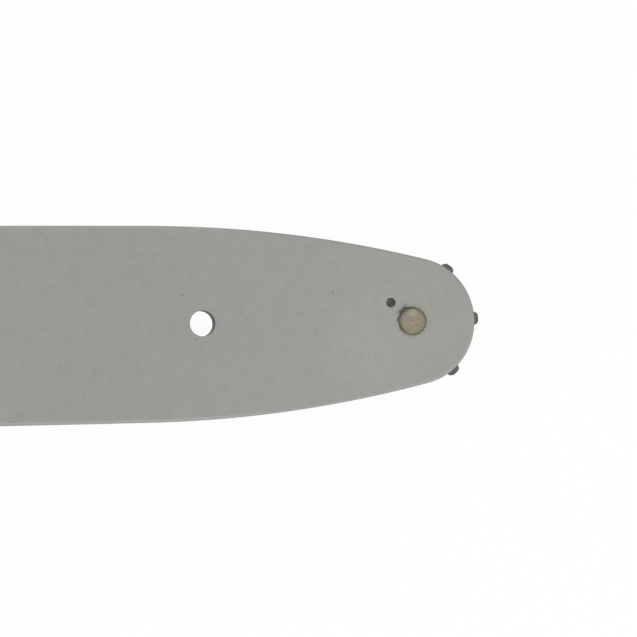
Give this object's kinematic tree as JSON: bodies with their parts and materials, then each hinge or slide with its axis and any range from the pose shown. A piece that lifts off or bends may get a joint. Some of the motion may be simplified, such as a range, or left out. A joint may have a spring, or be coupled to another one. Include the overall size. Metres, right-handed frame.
{
  "type": "chainsaw guide bar",
  "caption": "Flat laminated chainsaw guide bar with a chain groove round its edge, a stud slot at the tail and a toothed sprocket on a roller bearing in the rounded nose.",
  "frame": {"origin": "middle of the stud slot, at the level of the back side plate's outer face", "axes": "+X along the bar to the nose, +Y across the bar, +Z out of the front side plate"},
  "size_m": [0.3611, 0.0494, 0.004],
  "materials": {
    "side_plate": "satin",
    "core": "satin",
    "sprocket": "satin",
    "rivet": "satin",
    "bearing": "polished"
  },
  "bodies": {
    "bar_body": {"side_plate_front": "side_plate", "side_plate_back": "side_plate", "core_plate": "core", "inner_race": "bearing", "nose_rivet": "rivet"},
    "sprocket": {"nose_sprocket": "sprocket"},
    "roller_set": {"bearing_roller_01": "bearing", "bearing_roller_02": "bearing", "bearing_roller_03": "bearing", "bearing_roller_04": "bearing", "bearing_roller_05": "bearing", "bearing_roller_06": "bearing", "bearing_roller_07": "bearing", "bearing_roller_08": "bearing", "bearing_roller_09": "bearing", "bearing_roller_10": "bearing", "bearing_roller_11": "bearing", "bearing_roller_12": "bearing", "bearing_roller_13": "bearing", "bearing_roller_14": "bearing", "bearing_roller_15": "bearing", "bearing_roller_16": "bearing", "bearing_roller_17": "bearing", "bearing_roller_18": "bearing"}
  },
  "joints": [
    {"name": "sprocket_spin", "type": "hinge", "parent": "bar_body", "child": "sprocket", "pos_m": [0.302, 0, 0.002], "axis": [0, 0, 1], "continuous": true},
    {"name": "roller_orbit", "type": "hinge", "parent": "bar_body", "child": "roller_set", "pos_m": [0.302, 0, 0.002], "axis": [0, 0, 1], "continuous": true}
  ],
  "couplings": [
    {"joint": "roller_orbit", "follows": "sprocket_spin", "ratio": 0.5863}
  ]
}
